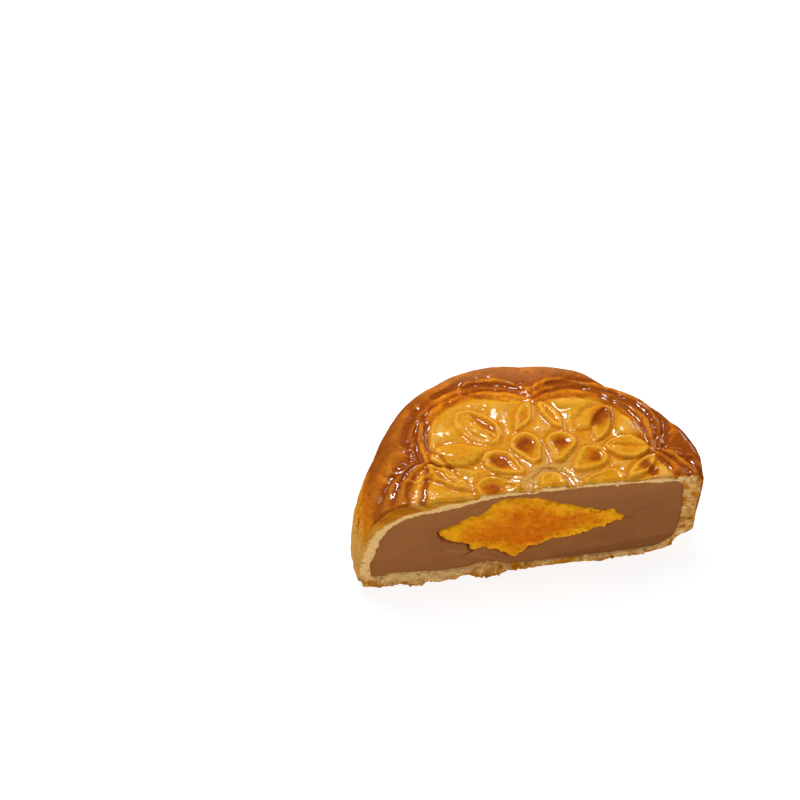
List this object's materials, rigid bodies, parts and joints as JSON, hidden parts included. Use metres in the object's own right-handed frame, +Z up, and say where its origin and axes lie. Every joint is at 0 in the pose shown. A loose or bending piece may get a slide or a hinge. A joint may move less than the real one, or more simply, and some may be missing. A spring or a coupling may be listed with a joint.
{
  "type": "half lotus seed mooncake",
  "caption": "Half of a round baked pastry with a scalloped side and a pressed flower on top, cut open to show brown paste round an orange yolk.",
  "frame": {"origin": "middle of the half's flat base, half way along the cut and half way from the cut to the back", "axes": "+Z up out of the pressed top; +X along the cut, from the slumped end to the tight end; -Y out of the cut face"},
  "size_m": [0.0791, 0.0436, 0.0281],
  "materials": {
    "baked_crust": "egg-washed, glossy on top and matte at the side",
    "lotus_paste": "smooth and moist",
    "salted_yolk": "grainy"
  },
  "bodies": {
    "root": {"crust": "baked_crust", "lotus_paste": "lotus_paste", "egg_yolk": "salted_yolk"}
  },
  "joints": []
}
